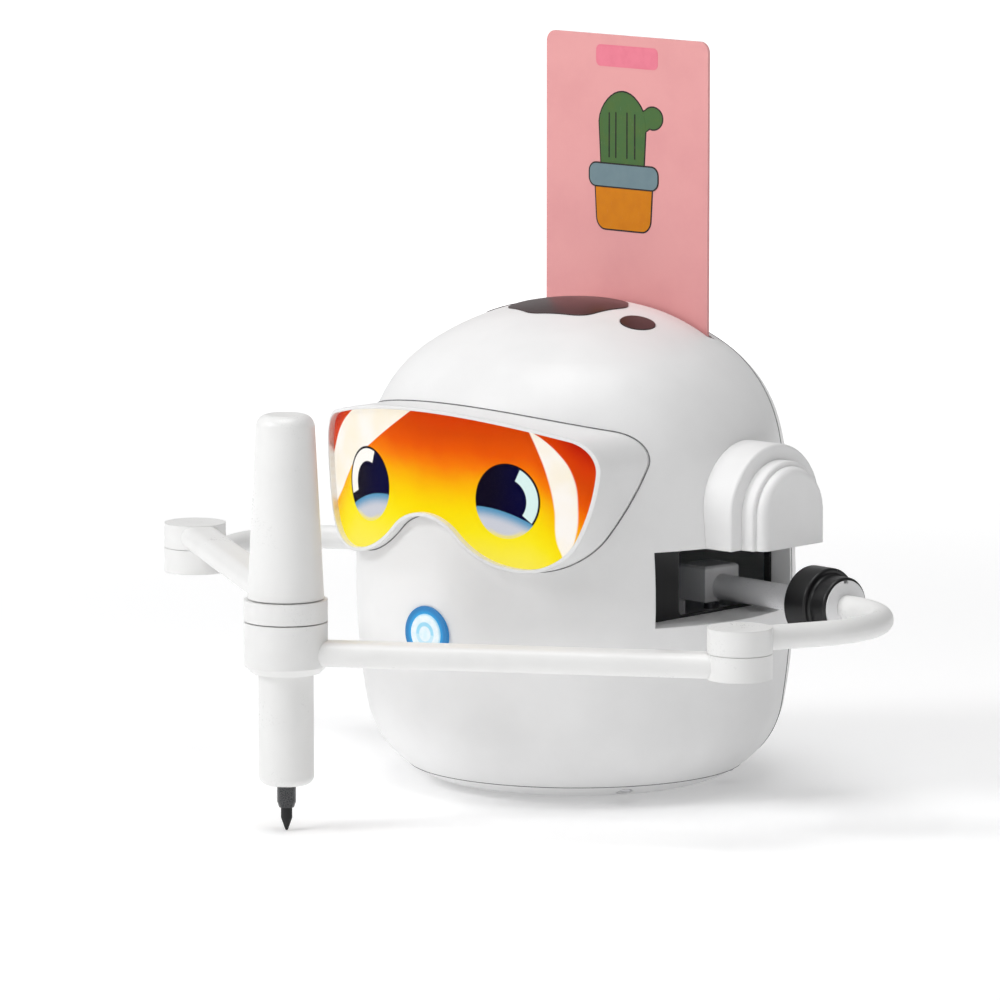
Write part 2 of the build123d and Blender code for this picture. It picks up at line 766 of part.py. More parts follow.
for side, sign in sides.items():
    with BuildPart() as drive_motor:
        with BuildSketch(Plane(origin=motor_point(side, motor_bottom))):
            Circle(motor_radius)
        extrude(amount=carriage_low - motor_bottom)
        chamfer(drive_motor.faces().sort_by(Axis.Z)[0].edges(), 1.0)
        with BuildSketch(Plane(origin=motor_point(side, carriage_low))):
            Circle(1.5 + running_gap)
        extrude(amount=-6, mode=Mode.SUBTRACT)
    save(drive_motor, f"{side}_drive_motor")

    pinion_low, pinion_high = pinion_heights[side]
    # A tooth of the pinion points at the arm shaft
    to_shaft = Vector(0, shaft_y, 0) - motor_point(side, 0)
    phase = atan2(to_shaft.Y, to_shaft.X)
    with BuildPart() as drive_pinion:
        with BuildSketch(Plane(origin=motor_point(side, pinion_low))):
            with BuildLine():
                Polyline(*gear_outline(pinion_teeth, drive_module, phase=phase), close=True)
            make_face()
        extrude(amount=pinion_high - pinion_low)
        with BuildSketch(Plane(origin=motor_point(side, carriage_low - 5))):
            Circle(1.5)
        extrude(amount=pinion_low - carriage_low + 5)
    save(drive_pinion, f"{side}_drive_pinion")

# ---------------------------------------------------------------- arms
sector_first, sector_count = -4, 12


def sector_outline(side):
    """Teeth of a sector, with a gap between two teeth on the line to the motor."""
    sign = sides[side]
    gap = 0.5 * 2 * pi / sector_teeth
    start = -radians(motor_angle) + gap if sign > 0 else pi + radians(motor_angle) + gap
    first = sector_first if sign > 0 else -sector_first - sector_count
    return gear_outline(sector_teeth, drive_module, first, sector_count, start)


def tube_path(side):
    """Centre line of a drive tube: out of the plug, round the bend and back to the knuckle."""
    b = radians(knuckle_offset)
    sign = -sides[side]
    corners = [
        (nut_end + 0.3, 0), (111.4, 0), (114.0, 29.3 * sign),
        (link_length * cos(b), link_length * sin(b) * sign),
    ]
    with BuildLine(arm_plane(side, rod_height)) as path:
        FilletPolyline(*corners, radius=25)
    return path.line


for side, sign in sides.items():
    hub_low = left_hub_low if side == "left" else right_hub_low
    hub_high = left_hub_high if side == "left" else right_sector_low
    with BuildPart() as arm_lever:
        with BuildSketch(arm_plane(side, hub_low)):
            Circle(9)
            with Locations((15, 0)):
                Rectangle(30, 10)
            Circle(shaft_radius + running_gap, mode=Mode.SUBTRACT)
        extrude(amount=hub_high - hub_low)
        with BuildSketch(arm_plane(side, left_hub_low)):
            with Locations((32.5, 0)):
                Rectangle(11, 12.4)
        extrude(amount=9.6)
        chamfer(arm_lever.faces().sort_by(Axis.Z)[-1].edges(), 0.6)
        with BuildSketch(Plane(origin=on_arm(side, 29), z_dir=rod_direction(side))):
            Circle(rod_radius)
        extrude(amount=20, mode=Mode.SUBTRACT)
    save(arm_lever, f"{side}_arm_lever")

    with BuildPart() as arm_rod:
        with BuildSketch(Plane(origin=on_arm(side, 29), z_dir=rod_direction(side))):
            Circle(rod_radius)
        extrude(amount=nut_step + 0.6 - 29)
        with BuildSketch(Plane(origin=on_arm(side, 75.2), z_dir=rod_direction(side))):
            Circle(plug_radius)
        extrude(amount=nut_step + 0.6 - 75.2)
    save(arm_rod, f"{side}_arm_rod")

    with BuildPart() as coupling_nut:
        with BuildSketch(section_plane(side)):
            with BuildLine():
                Polyline(
                    (nut_start, rod_radius + running_gap), (nut_start, nut_flange_radius),
                    (nut_step, nut_flange_radius), (nut_step, nut_small_radius),
                    (nut_end, nut_small_radius), (nut_end, plug_radius + running_gap),
                    (75.0, plug_radius + running_gap), (75.0, rod_radius + running_gap), close=True,
                )
            make_face()
        revolve(axis=Axis(on_arm(side, 0), rod_direction(side)))
        rims = coupling_nut.edges().filter_by(GeomType.CIRCLE)
        fillet([e for e in rims if e.radius > nut_small_radius - 0.01], 0.7)
    save(coupling_nut, f"{side}_coupling_nut")

    with BuildPart() as arm_plug:
        with BuildSketch(Plane(origin=on_arm(side, nut_step + 0.6), z_dir=rod_direction(side))):
            Circle(plug_radius)
        extrude(amount=nut_end + 0.3 - nut_step - 0.6)
        # Key notch on top
        with Locations(Location(on_arm(side, nut_end, 0, rod_height + plug_radius))):
            Box(3.0, 1.6, 1.6, mode=Mode.SUBTRACT)
    save(arm_plug, f"{side}_arm_plug")

    half = knuckle_height / 2
    with BuildPart() as drive_tube:
        path = tube_path(side)
        with BuildSketch(Plane(origin=path @ 0, z_dir=path % 0)):
            Circle(tube_radius)
        sweep(path=path)
        with BuildSketch(Plane(origin=knuckle(side, rod_height - half))):
            Circle(knuckle_radius)
        extrude(amount=knuckle_height)
        with BuildSketch(Plane(origin=knuckle(side, rod_height - half))):
            Circle(2.0 + running_gap)
        extrude(amount=knuckle_height, mode=Mode.SUBTRACT)
    save(drive_tube, f"{side}_drive_tube")

    sector_low = left_sector_low if side == "left" else right_sector_low
    sector_high = left_hub_low if side == "left" else right_sector_high
    with BuildPart() as sector_gear:
        with BuildSketch(Plane(origin=(0, shaft_y, sector_low))):
            with BuildLine():
                Polyline(*sector_outline(side), close=True)
            make_face()
            Circle(9)
            Circle(shaft_radius + running_gap, mode=Mode.SUBTRACT)
        extrude(amount=sector_high - sector_low)
    save(sector_gear, f"{side}_sector_gear")

# ---------------------------------------------------------------- forearms, elbow pins
forearm_z = {"left": rod_height - forearm_drop, "right": rod_height + forearm_drop}
collar_span = {"left": (collar_low, collar_seam), "right": (collar_seam + 0.3, collar_high)}
collar_bore = {"left": barrel_radius, "right": barrel_radius + 0.25}

for side, sign in sides.items():
    z = forearm_z[side]
    low, high = collar_span[side]
    reach = pen_point(z) - knuckle(side, z)
    bar_plane = Plane(origin=knuckle(side, z), z_dir=reach.normalized(), x_dir=(0, 0, 1))
    with BuildPart() as forearm:
        with BuildSketch(bar_plane):
            SlotOverall(forearm_width, forearm_thickness, rotation=90)
        extrude(amount=link_length)
        with BuildSketch(Plane(origin=knuckle(side, z - half))):
            Circle(knuckle_radius)
        extrude(amount=knuckle_height)
        # The bar stops short of the cap that lifts off above the upper collar
        with BuildSketch(Plane(origin=pen_point(collar_high))):
            Circle(cap_low_radius + 0.6)
        extrude(amount=20, mode=Mode.SUBTRACT)
        with BuildSketch(Plane(origin=pen_point(low))):
            Circle(collar_radius)
        extrude(amount=high - low)
        with BuildSketch(Plane(origin=pen_point(low - 5))):
            Circle(collar_bore[side])
        extrude(amount=high - low + 10, mode=Mode.SUBTRACT)
        with BuildSketch(Plane(origin=knuckle(side, z - half))):
            Circle(2.0 + running_gap)
        extrude(amount=knuckle_height, mode=Mode.SUBTRACT)
        if side == "left":
            bottom_rim = forearm.faces().sort_by(Axis.Z)[0].edges().sort_by(SortBy.LENGTH)[-1]
            chamfer(bottom_rim, collar_chamfer)
    save(forearm, f"{side}_forearm")

    stack_low = min(z, rod_height) - half
    stack_high = max(z, rod_height) + half
    with BuildPart() as elbow_pin:
        with BuildSketch(Plane(origin=knuckle(side, stack_low))):
            Circle(2.0)
        extrude(amount=stack_high - stack_low)
    save(elbow_pin, f"{side}_elbow_pin")

# ---------------------------------------------------------------- pen holder
with BuildPart() as pen_sleeve:
    with BuildSketch(Plane(origin=pen_point(barrel_low))):
        Circle(barrel_radius)
    extrude(amount=barrel_high - barrel_low)
    fillet(pen_sleeve.faces().sort_by(Axis.Z)[0].edges(), 2.4)
    with BuildSketch(Plane(origin=pen_point(barrel_low + 4))):
        Circle(barrel_bore)
    extrude(amount=80, mode=Mode.SUBTRACT)
    with BuildSketch(Plane(origin=pen_point(barrel_low))):
        Circle(nose_radius + 0.1)
    extrude(amount=10, mode=Mode.SUBTRACT)
save(pen_sleeve, "pen_sleeve")

pen_section = Plane(origin=pen_point(0), x_dir=(1, 0, 0), z_dir=(0, -1, 0))
pen_axis = Axis(pen_point(0), (0, 0, 1))

with BuildPart() as marker_body:
    with BuildSketch(pen_section):
        with BuildLine():
            Polyline(
                (0, nose_low), (nose_radius - 0.5, nose_low), (nose_radius, nose_low + 1.5),
                (nose_radius, barrel_low + 4.1), (marker_radius, barrel_low + 4.1),
                (marker_radius, 97), (marker_radius - 1, 98), (0, 98), close=True,
            )
        make_face()
    revolve(axis=pen_axis)
save(marker_body, "marker_body")

with BuildPart() as marker_nib:
    with BuildSketch(pen_section):
        with BuildLine():
            Polyline(
                (0, 0), (0.35, 0.15), (nib_radius, 3.4), (nib_radius, nose_low), (0, nose_low),
                close=True,
            )
        make_face()
    revolve(axis=pen_axis)
save(marker_nib, "marker_nib")

with BuildPart() as pen_cap:
    with BuildSketch(pen_section):
        with BuildLine():
            wall_line = Line((cap_low_radius, cap_low), (cap_high_radius, cap_high))
            crown = JernArc(wall_line @ 1, wall_line % 1, 3.4, 75)
            crown_top = Line(crown @ 1, (0, cap_top))
            Polyline(
                crown_top @ 1, (0, 104), (6.2, 104), (6.2, barrel_high + 0.1),
                (barrel_radius + 0.08, barrel_high + 0.1), (barrel_radius + 0.08, cap_low), wall_line @ 0,
            )
        make_face()
    revolve(axis=pen_axis)
save(pen_cap, "pen_cap")

print("flat bottom radius", round(flat_radius, 2))
print("crown height", round(dome_centre() + dome_radius, 2))
for side in sides:
    print(side, "knuckle", knuckle(side, 0), "oval button", oval_plane(sides[side]).origin)
print("pen", pen_point(0), "drive motors", motor_places)
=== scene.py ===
from math import cos, pi, radians, sin, sqrt

import bmesh
import bpy
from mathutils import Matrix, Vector


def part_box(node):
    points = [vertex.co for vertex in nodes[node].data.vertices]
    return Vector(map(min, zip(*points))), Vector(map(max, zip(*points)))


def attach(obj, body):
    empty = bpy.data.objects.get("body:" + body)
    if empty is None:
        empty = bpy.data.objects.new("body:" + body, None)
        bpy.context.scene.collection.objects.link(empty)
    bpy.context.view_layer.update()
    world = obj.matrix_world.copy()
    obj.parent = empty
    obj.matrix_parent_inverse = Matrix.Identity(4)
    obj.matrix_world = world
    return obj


# Table-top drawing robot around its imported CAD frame. Metres, +Z up, origin on the table under the
# body's axis. The face looks along -Y and the robot's left is +X.

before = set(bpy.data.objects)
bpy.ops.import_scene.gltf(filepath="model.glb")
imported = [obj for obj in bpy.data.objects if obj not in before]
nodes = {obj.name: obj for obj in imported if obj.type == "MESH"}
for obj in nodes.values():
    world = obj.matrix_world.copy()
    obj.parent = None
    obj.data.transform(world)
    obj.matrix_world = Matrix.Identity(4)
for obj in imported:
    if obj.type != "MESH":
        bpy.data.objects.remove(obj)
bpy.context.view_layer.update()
scene = bpy.context.scene
MM = 0.001


# ---------------------------------------------------------------- material graph
def linear(hex_colour):
    """Linear RGBA of a display colour written as six hex digits."""
    parts = [int(hex_colour[i:i + 2], 16) / 255 for i in (0, 2, 4)]
    return [p / 12.92 if p <= 0.04045 else ((p + 0.055) / 1.055) ** 2.4 for p in parts] + [1.0]


def shade(colour, factor):
    """A colour made darker or lighter by a factor."""
    return [min(1.0, c * factor) for c in colour[:3]] + [1.0]


class Value:
    """A number worked out at each point of a surface, with arithmetic as shader nodes."""

    def __init__(self, graph, socket):
        self.graph, self.socket = graph, socket

    def __add__(self, other):
        return self.graph.math("ADD", self, other)

    def __sub__(self, other):
        return self.graph.math("SUBTRACT", self, other)

    def __mul__(self, other):
        return self.graph.math("MULTIPLY", self, other)


class Graph:
    """A material's node tree, built from short calls."""

    def __init__(self, name):
        self.material = bpy.data.materials.new(name)
        self.material.use_nodes = True
        self.tree = self.material.node_tree
        self.tree.nodes.clear()
        self.output = self.tree.nodes.new("ShaderNodeOutputMaterial")
        self.place = self.node("ShaderNodeTexCoord").outputs["Object"]
        split = self.node("ShaderNodeSeparateXYZ", {"Vector": self.place})
        self.x, self.y, self.z = (Value(self, split.outputs[k]) for k in "XYZ")

    def node(self, kind, inputs=None, **settings):
        made = self.tree.nodes.new(kind)
        for key, value in settings.items():
            setattr(made, key, value)
        for key, value in (inputs or {}).items():
            self.feed(made.inputs[key], value)
        return made

    def feed(self, socket, value):
        if isinstance(value, Value):
            value = value.socket
        if isinstance(value, bpy.types.NodeSocket):
            self.tree.links.new(value, socket)
        else:
            socket.default_value = value

    def math(self, operation, a, b=0.0, clamp=False):
        made = self.node("ShaderNodeMath", {0: a, 1: b}, operation=operation, use_clamp=clamp)
        return Value(self, made.outputs[0])

    def step(self, value, low, high, to_low=0.0, to_high=1.0, smooth=True):
        """Value carried from low..high to to_low..to_high, held level outside."""
        made = self.node(
            "ShaderNodeMapRange",
            {"Value": value, "From Min": low, "From Max": high, "To Min": to_low, "To Max": to_high},
            interpolation_type="SMOOTHSTEP" if smooth else "LINEAR",
        )
        return Value(self, made.outputs["Result"])

    def noise(self, scale, detail=3.0, roughness=0.55, place=None, distortion=0.0):
        made = self.node("ShaderNodeTexNoise", {
            "Vector": place or self.place, "Scale": scale, "Detail": detail,
            "Roughness": roughness, "Distortion": distortion,
        })
        return Value(self, made.outputs["Fac"])

    def stretched(self, x, y, z):
        """Object coordinates stretched by a factor along each axis."""
        made = self.node("ShaderNodeVectorMath", {0: self.place, 1: (x, y, z)}, operation="MULTIPLY")
        return made.outputs[0]

    def mix(self, share, a, b):
        """Colour a changed to colour b where share is 1."""
        made = self.node("ShaderNodeMix", {"Factor": share, 6: a, 7: b}, data_type="RGBA")
        return made.outputs[2]

    def ramp(self, value, stops):
        made = self.node("ShaderNodeValToRGB", {"Fac": value})
        ramp = made.color_ramp
        for index, (place, colour) in enumerate(stops):
            stop = ramp.elements[index] if index < 2 else ramp.elements.new(place)
            stop.position, stop.color = place, colour
        return made.outputs["Color"]

    def curve(self, value, points):
        """Smooth curve through points with both coordinates from 0 to 1."""
        made = self.node("ShaderNodeFloatCurve", {"Value": value})
        line = made.mapping.curves[0]
        line.points[0].location, line.points[-1].location = points[0], points[-1]
        for point in points[1:-1]:
            line.points.new(*point)
        made.mapping.update()
        return Value(self, made.outputs["Value"])

    def bump(self, height, distance, strength=1.0, normal=None):
        inputs = {"Height": height, "Distance": distance, "Strength": strength}
        if normal is not None:
            inputs["Normal"] = normal
        return self.node("ShaderNodeBump", inputs).outputs["Normal"]

    def rounded(self, radius):
        """Normal of slightly rounded edges, and how near each point is to one."""
        bevel = self.node("ShaderNodeBevel", {"Radius": radius}, samples=4).outputs["Normal"]
        true = self.node("ShaderNodeNewGeometry").outputs["Normal"]
        dot = self.node("ShaderNodeVectorMath", {0: bevel, 1: true}, operation="DOT_PRODUCT")
        return bevel, self.step(Value(self, dot.outputs["Value"]), 0.985, 0.80)

    def principled(self, **inputs):
        named = {key.replace("_", " "): value for key, value in inputs.items()}
        return self.node("ShaderNodeBsdfPrincipled", named)

    def finish(self, shader):
        self.tree.links.new(shader.outputs[0], self.output.inputs["Surface"])
        return self.material


def moulded(name, colour, roughness, grain=0.35, grain_size=0.45, edge=0.25, wear=0.35,
            coat=0.0, smudge=1.0):
    """Moulded plastic: pigment drift, fine spark-eroded grain, handling smudges and rubbed edges.

    grain is the depth of the texture in hundredths of a millimetre, grain_size its pitch in mm."""
    g = Graph(name)
    drift = g.noise(38.0, 3.0)
    speck = g.noise(2600.0, 2.0, 0.6)
    body = g.mix(g.step(drift, 0.35, 0.7), colour, shade(colour, 0.955))
    body = g.mix(g.step(speck, 0.72, 0.8) * 0.35, body, shade(colour, 0.8))
    bevel, rub = g.rounded(edge * MM)
    scuff = g.step(g.noise(420.0, 4.0, 0.65), 0.42, 0.62)
    dark = sum(colour[:3]) < 0.9
    worn = [min(1.0, c * 1.25 + 0.02) for c in colour[:3]] + [1.0] if dark else shade(colour, 0.86)
    body = g.mix(rub * scuff * wear, body, worn)
    handled = g.step(g.noise(55.0, 5.0, 0.6, distortion=0.6), 0.45, 0.7)
    texture = g.noise(1000.0 / grain_size, 2.0, 0.5)
    rough = g.step(texture, 0.3, 0.7, roughness - 0.05, roughness + 0.06, smooth=False)
    rough = rough - handled * (0.07 * smudge) + rub * 0.05
    normal = g.bump(texture, grain * 0.01 * MM, 0.8, bevel)
    shader = g.principled(Base_Color=body, Roughness=rough, Normal=normal, Coat_Weight=coat,
                          Coat_Roughness=0.12, Specular_IOR_Level=0.5)
    return g.finish(shader)


def polished(name, colour, roughness, tint):
    """Polished dark plastic with dust, hairline scratches and a drift towards the tint."""
    g = Graph(name)
    bevel, rub = g.rounded(0.3 * MM)
    dust = g.step(g.noise(3200.0, 2.0, 0.7), 0.66, 0.74)
    hair = g.step(g.noise(1400.0, 2.0, 0.4, g.stretched(1.0, 0.12, 0.4)), 0.70, 0.76)
    drift = g.step(g.noise(60.0, 4.0), 0.35, 0.7)
    body = g.mix(drift, colour, tint)
    body = g.mix(dust * 0.18, body, (0.5, 0.48, 0.46, 1.0))
    body = g.mix(rub * 0.25, body, (0.16, 0.15, 0.15, 1.0))
    rough = g.step(drift, 0.0, 1.0, roughness, roughness + 0.05) + dust * 0.2 + hair * 0.04
    normal = g.bump(g.noise(60.0, 1.0), 0.008 * MM, 0.4, bevel)
    return g.finish(g.principled(Base_Color=body, Roughness=rough, Normal=normal, Specular_IOR_Level=0.45))


def metal(name, colour, roughness=0.28, along=(1.0, 0.04, 1.0)):
    """Drawn or turned metal with fine lines, tarnish and bright edges."""
    g = Graph(name)
    bevel, rub = g.rounded(0.2 * MM)
    lines = g.noise(3000.0, 3.0, 0.6, g.stretched(*along))
    tarnish = g.step(g.noise(160.0, 5.0, 0.6), 0.4, 0.7)
    body = g.mix(tarnish * 0.5, colour, shade(colour, 0.72))
    body = g.mix(rub * 0.5, body, shade(colour, 1.25))
    rough = g.step(lines, 0.3, 0.7, roughness - 0.08, roughness + 0.12) + tarnish * 0.1
    normal = g.bump(lines, 0.008 * MM, 0.7, bevel)
    return g.finish(g.principled(Base_Color=body, Roughness=rough, Normal=normal, Metallic=1.0))


def white_plastic(name, colour, roughness):
    return moulded(name, linear(colour), roughness, grain=0.5, grain_size=0.55, edge=0.35, wear=0.18)


# ---------------------------------------------------------------- face under the visor
EYE_Z, EYE_HALF_HEIGHT = 84.0, 10.0
# Side, distance from the middle, half width, first and last angle of the highlight, its colour
EYES = ((-1, 24.3, 9.8, -24.0, 108.0, "ffffff"), (1, 25.1, 8.9, -40.0, 67.0, "dcf8fb"))
FACE_LOW, FACE_HIGH = 64.0, 108.0
FACE_REACH = 56.0
SUNSET_LOW, SUNSET_HIGH = 66.0, 118.0
SUNSET = ((66.0, "fff45a"), (75.0, "feee1c"), (80.0, "fee303"), (84.0, "fdcf02"), (88.0, "fcae02"),
          (92.2, "f87c02"), (96.3, "ea5a01"), (101.0, "d84800"), (106.0, "d83c02"), (111.0, "c01a04"),
          (117.0, "960a03"))


def face_print():
    """Sunset-coloured goggle print with two cartoon eyes and painted light streaks, in mm. It is darkened
    towards its rims as painted shade, and glows as painted light.
    """
    g = Graph("face_print")
    x, z = g.x * 1000.0, g.z * 1000.0
    side = g.math("ABSOLUTE", x)
    cloud = (g.noise(120.0, 3.0) - 0.5) * 4.0
    # Painted shade: the side term carries the colour towards dark red near the rims, as shade from the
    # frame's inner walls. The print also leans a little towards yellow on the -X side.
    heat = z + g.step(side, 29.0, 48.0) * 14.0 + cloud - g.step(x, 5.0, -20.0) * 2.0
    share = g.step(heat, SUNSET_LOW, SUNSET_HIGH, smooth=False)
    span = SUNSET_HIGH - SUNSET_LOW
    colour = g.ramp(share, [((height - SUNSET_LOW) / span, linear(c)) for height, c in SUNSET])

    def border(points):
        """Distance across the face of a streak's border, as a curve over height."""
        share_up = g.step(z, FACE_LOW, FACE_HIGH, smooth=False)
        scaled = [((h - FACE_LOW) / (FACE_HIGH - FACE_LOW), (v + FACE_REACH) / FACE_REACH / 2)
                  for h, v in points]
        return g.curve(share_up, scaled) * (2 * FACE_REACH) - FACE_REACH

    def streak(low_side, high_side):
        """1 between two borders."""
        left = g.step(x - border(low_side), -0.25, 0.25)
        right = g.step(border(high_side) - x, -0.25, 0.25)
        return left * right

    # Painted highlights: two white glare streaks, painted reflections of light, laid into the print.
    streaks = streak(
        [(64, -55.5), (76, -53), (84, -50.5), (91, -46.5), (98, -40.5), (103, -33), (108, -25)],
        [(64, -55), (70, -50.5), (76, -45), (80.5, -40), (84, -37), (90, -31), (96, -21.5), (106, -5.2),
         (108, -2)],
    ) + streak(
        [(64, 40), (69, 39.6), (74, 38.0), (83, 37.4), (92, 35.4), (98, 33.2), (103, 31.0), (108, 29)],
        [(64, 39), (69, 40.4), (74, 42.2), (83, 43.0), (92, 41.6), (97, 38.6), (101, 34.4), (103, 31.4),
         (108, 27)],
    )
    painted_glare_white = g.mix(g.step(g.noise(90.0, 2.0), 0.3, 0.7), linear("ffffff"), linear("fdf8ea"))
    colour = g.mix(g.math("MINIMUM", streaks, 1.0), colour, painted_glare_white)

    for sign, place, half_width, first, last, shine in EYES:
        out = x * float(sign) - place
        up = z - EYE_Z
        a, b = out * (1 / half_width), up * (1 / EYE_HALF_HEIGHT)
        reach = g.math("SQRT", a * a + b * b)
        angle = g.math("ARCTAN2", up, out)
        inside = g.step(reach, 1.015, 0.985)
        lid = out * out * -0.0173 + out * -0.292 - 3.02
        lower = g.step(up - lid, 0.15, -0.25)
        dark = g.mix(g.step(out * float(sign), -6.0, 7.0), linear("05011c"), linear("000038"))
        pale = g.mix(g.step(up - lid, -3.6, -0.2), linear("cdd3e2"), linear("5b9cc8"))
        eye = g.mix(lower, dark, pale)
        band = g.step(reach, 0.585, 0.615) * g.step(reach, 0.955, 0.925)
        turn = g.step(angle, radians(first) - 0.02, radians(first) + 0.02)
        turn = turn * g.step(angle, radians(last) + 0.02, radians(last) - 0.02)
        eye = g.mix(band * turn, eye, linear(shine))
        rim = g.step(reach, 0.955, 0.97) * g.step(up - lid, -0.6, 0.4)
        eye = g.mix(rim, eye, (0.002, 0.001, 0.004, 1.0))
        fade = g.step(up, -9.5, -7.0, 0.35, 1.0)
        colour = g.mix(inside * g.math("MAXIMUM", fade, g.step(reach, 1.0, 0.86)), colour, eye)

    dots = g.noise(5200.0, 1.0)
    colour = g.mix(g.step(dots, 0.6, 0.7) * 0.05, colour, (0.05, 0.02, 0.0, 1.0))
    rough = g.step(dots, 0.3, 0.7, 0.3, 0.42)
    normal = g.bump(dots, 0.003 * MM)
    # Painted light: the print glows by its own emission though nothing lights it, and its base colour is
    # dimmed to suit.
    dim = g.mix(0.65, colour, BLACK)
    return g.finish(g.principled(Base_Color=dim, Roughness=rough, Normal=normal, Specular_IOR_Level=0.0,
                                 Emission_Color=colour, Emission_Strength=0.66))


def visor():
    """Clear thin visor: see-through from the front, mirror-like at a slant, with dust and hairlines."""
    g = Graph("visor")
    dust = g.step(g.noise(3600.0, 2.0, 0.7), 0.68, 0.76)
    hair = g.step(g.noise(700.0, 2.0, 0.4, g.stretched(1.0, 1.0, 0.05)), 0.63, 0.67)
    smear = g.step(g.noise(60.0, 4.0, 0.6, distortion=0.8), 0.45, 0.75)
    rough = g.step(smear, 0.0, 1.0, 0.05, 0.12) + hair * 0.1
    gloss = g.principled(Base_Color=g.mix(smear, (0.9, 0.86, 0.8, 1.0), (0.96, 0.93, 0.89, 1.0)),
                         Roughness=rough, Normal=g.bump(g.noise(110.0, 2.0), 0.01 * MM, 0.5),
                         Specular_IOR_Level=0.6)
    clear = g.node("ShaderNodeBsdfTransparent", {"Color": (1.0, 0.985, 0.965, 1.0)})
    facing = Value(g, g.node("ShaderNodeLayerWeight", {"Blend": 0.5}).outputs["Facing"])
    slant = g.math("POWER", facing, 5.0)
    share = g.math("ADD", slant * 0.1 + dust * 0.01, 0.003, clamp=True)
    mixed = g.node("ShaderNodeMixShader", {0: share, 1: clear.outputs[0], 2: gloss.outputs[0]})
    return g.finish(mixed)


CHEST_LIGHT_Z = 46.4
BLACK = (0.0, 0.0, 0.0, 1.0)


def from_chest_light(g):
    """Height above the chest light's axis and distance from that axis, in mm."""
    x, z = g.x * 1000.0, g.z * 1000.0 - CHEST_LIGHT_Z
    return z, g.math("SQRT", x * x + z * z)


def glow_ring():
    """Blue light ring, brightest along its inner edge."""
    g = Graph("light_ring")
    reach = from_chest_light(g)[1]
    ripple = g.noise(900.0, 2.0) * 0.25
    share = g.step(reach + ripple, 5.3, 7.5, smooth=False)
    colour = g.ramp(share, [(0.0, linear("59c6f0")), (0.12, linear("1aa0e0")), (0.6, linear("0f86cc")),
                            (1.0, linear("2088cc"))])
    glow = g.step(reach, 7.4, 5.4, 0.5, 0.66)
    rough = g.step(ripple, 0.0, 0.25, 0.3, 0.45)
    return g.finish(g.principled(Base_Color=g.mix(0.7, colour, BLACK), Roughness=rough,
                                 Emission_Color=colour, Emission_Strength=glow))


def button_face():
    """Back-lit button: white with a pale blue ring in its middle."""
    g = Graph("button_white")
    z, reach = from_chest_light(g)
    ring = g.step(reach, 1.9, 2.2) * g.step(reach, 3.3, 3.0)
    upper = g.step(z, -0.4, 0.0)
    haze = g.noise(700.0, 3.0)
    colour = g.mix(g.step(haze, 0.3, 0.7), linear("f2fbff"), linear("e2f4fb"))
    colour = g.mix(g.step(reach, 2.4, 0.0) * 0.35, colour, linear("b9ecfa"))
    colour = g.mix(ring * (upper * 0.35 + 0.45), colour, linear("7fd4f4"))
    colour = g.mix(g.step(reach, 4.7, 5.3) * 0.5, colour, linear("7fd4f4"))
    rough = g.step(haze, 0.3, 0.7, 0.28, 0.4)
    dim = g.mix(0.6, colour, BLACK)
    return g.finish(g.principled(Base_Color=dim, Roughness=rough, Normal=g.bump(haze, 0.006 * MM),
                                 Emission_Color=colour, Emission_Strength=0.58))


def rubber():
    g = Graph("rubber_pad")
    grit = g.noise(1500.0, 4.0, 0.7)
    colour = g.mix(g.step(grit, 0.35, 0.7), linear("2a2a2b"), linear("3a3938"))
    normal = g.bump(grit, 0.03 * MM, 1.0, g.rounded(0.3 * MM)[0])
    rough = g.step(grit, 0.3, 0.7, 0.75, 0.92)
    return g.finish(g.principled(Base_Color=colour, Normal=normal, Roughness=rough))


def circuit():
    """Green solder mask with copper traces under it and tinned pads."""
    g = Graph("circuit_board")
    tracks = g.node("ShaderNodeTexBrick", {
        "Vector": g.place, "Scale": 260.0, "Mortar Size": 0.02, "Color1": linear("12542f"),
        "Color2": linear("0e4527"), "Mortar": linear("2a7a45"),
    })
    pads = g.node("ShaderNodeTexVoronoi", {"Vector": g.place, "Scale": 260.0}, feature="F1")
    near = Value(g, pads.outputs["Distance"])
    pad = g.step(near, 0.14, 0.11)
    colour = g.mix(pad, tracks.outputs["Color"], linear("c9c6b8"))
    rough = g.step(pad, 0.0, 1.0, 0.38, 0.25) + g.noise(600.0) * 0.1
    normal = g.bump(pad, 0.02 * MM, 0.8, g.rounded(0.15 * MM)[0])
    return g.finish(g.principled(Base_Color=colour, Roughness=rough, Normal=normal, Metallic=pad * 0.9))


def card_face():
    """Matt pink card stock with paper fibre, faint blotches and a lighter tint along its edges."""
    g = Graph("card_stock")
    fibre = g.noise(2200.0, 4.0, 0.65, g.stretched(1.0, 1.0, 0.35))
    blotch = g.step(g.noise(45.0, 4.0), 0.35, 0.7)
    colour = g.mix(blotch, linear("e39e9e"), linear("de9899"))
    colour = g.mix(g.step(fibre, 0.55, 0.75) * 0.25, colour, linear("e8aead"))
    bevel, rub = g.rounded(0.25 * MM)
    colour = g.mix(rub * 0.7, colour, linear("f5d9d5"))
    rough = g.step(fibre, 0.3, 0.7, 0.5, 0.66)
    normal = g.bump(fibre, 0.01 * MM, 0.8, bevel)
    return g.finish(g.principled(Base_Color=colour, Roughness=rough, Normal=normal,
                                 Specular_IOR_Level=0.35, Sheen_Weight=0.1))


